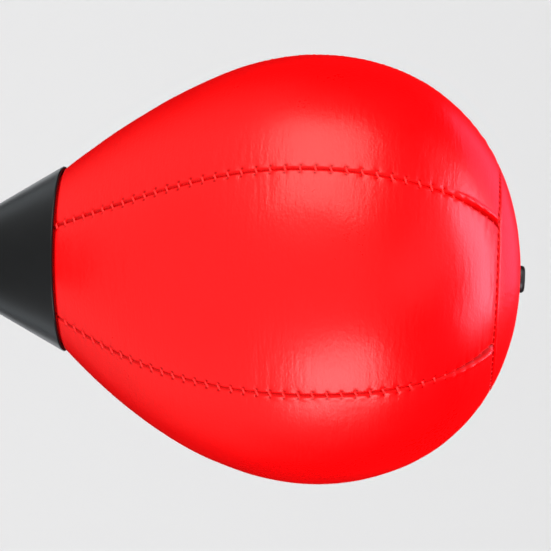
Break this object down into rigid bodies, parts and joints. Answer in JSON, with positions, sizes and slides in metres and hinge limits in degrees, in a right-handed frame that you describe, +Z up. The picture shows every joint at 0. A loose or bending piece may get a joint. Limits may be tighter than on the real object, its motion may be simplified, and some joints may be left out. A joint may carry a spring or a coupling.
{
  "type": "punching ball",
  "caption": "Teardrop leather punching ball with stitched gores, held in a plastic cone on a bending coil spring over a twist-lock suction base.",
  "frame": {"origin": "centre of the suction cup's sealing face, on the table", "axes": "+Z up along the spring to the ball's crown; the cup's release tab points along +Y"},
  "size_m": [0.13, 0.13, 0.3464],
  "materials": {
    "leather": "smooth red imitation leather, semi-gloss, fine creases at the seams",
    "rubber": "smooth black rubber",
    "bladder_rubber": "matte black rubber",
    "black_plastic": "semi-gloss black moulded plastic",
    "grey_plastic": "satin dark grey moulded plastic",
    "spring_steel": "bright nickel-plated spring wire",
    "steel": "zinc-plated steel"
  },
  "bodies": {
    "base": {"suction_cup": "rubber", "base_housing": "black_plastic", "spring_seat": "black_plastic", "seat_screw_1": "steel", "seat_screw_2": "steel", "seat_screw_3": "steel", "lower_spring_plug": "grey_plastic", "lower_plug_screw": "steel"},
    "lock_ring": {"lock_ring": "grey_plastic"},
    "lift_post": {"lift_post": "grey_plastic", "lift_pin_1": "steel", "lift_pin_2": "steel", "lift_pin_3": "steel"},
    "spring": {"spring": "spring_steel"},
    "head": {"cone_cup": "black_plastic", "upper_spring_plug": "grey_plastic", "nut_washer": "steel", "clamp_nut": "steel", "clamp_disc": "steel", "clamp_washer": "steel", "clamp_bolt": "steel", "gore_panel_1": "leather", "gore_panel_2": "leather", "gore_panel_3": "leather", "gore_panel_4": "leather", "gore_panel_5": "leather", "gore_panel_6": "leather", "crown_panel": "leather", "bladder": "bladder_rubber", "air_valve": "rubber"}
  },
  "joints": [
    {"name": "lock_turn", "type": "hinge", "parent": "base", "child": "lock_ring", "pos_m": [0, 0, 0.031], "axis": [0, 0, 1], "range_deg": [0, 90]},
    {"name": "post_lift", "type": "slide", "parent": "base", "child": "lift_post", "axis": [0, 0, 1], "range_m": [0, 0.003]},
    {"name": "spring_lower_bend", "type": "hinge", "parent": "base", "child": "spring", "pos_m": [0, 0, 0.0875], "axis": [0, 1, 0], "range_deg": [-45, 45], "stiffness_Nm_per_rad": 2.5, "deforming": ["spring"]},
    {"name": "spring_upper_bend", "type": "hinge", "parent": "spring", "child": "head", "pos_m": [0, 0, 0.1425], "axis": [1, 0, 0], "range_deg": [-45, 45], "stiffness_Nm_per_rad": 2.5, "deforming": ["spring"]}
  ],
  "couplings": [
    {"joint": "lock_turn", "follows": "post_lift", "rad_per_m": 523.59}
  ]
}
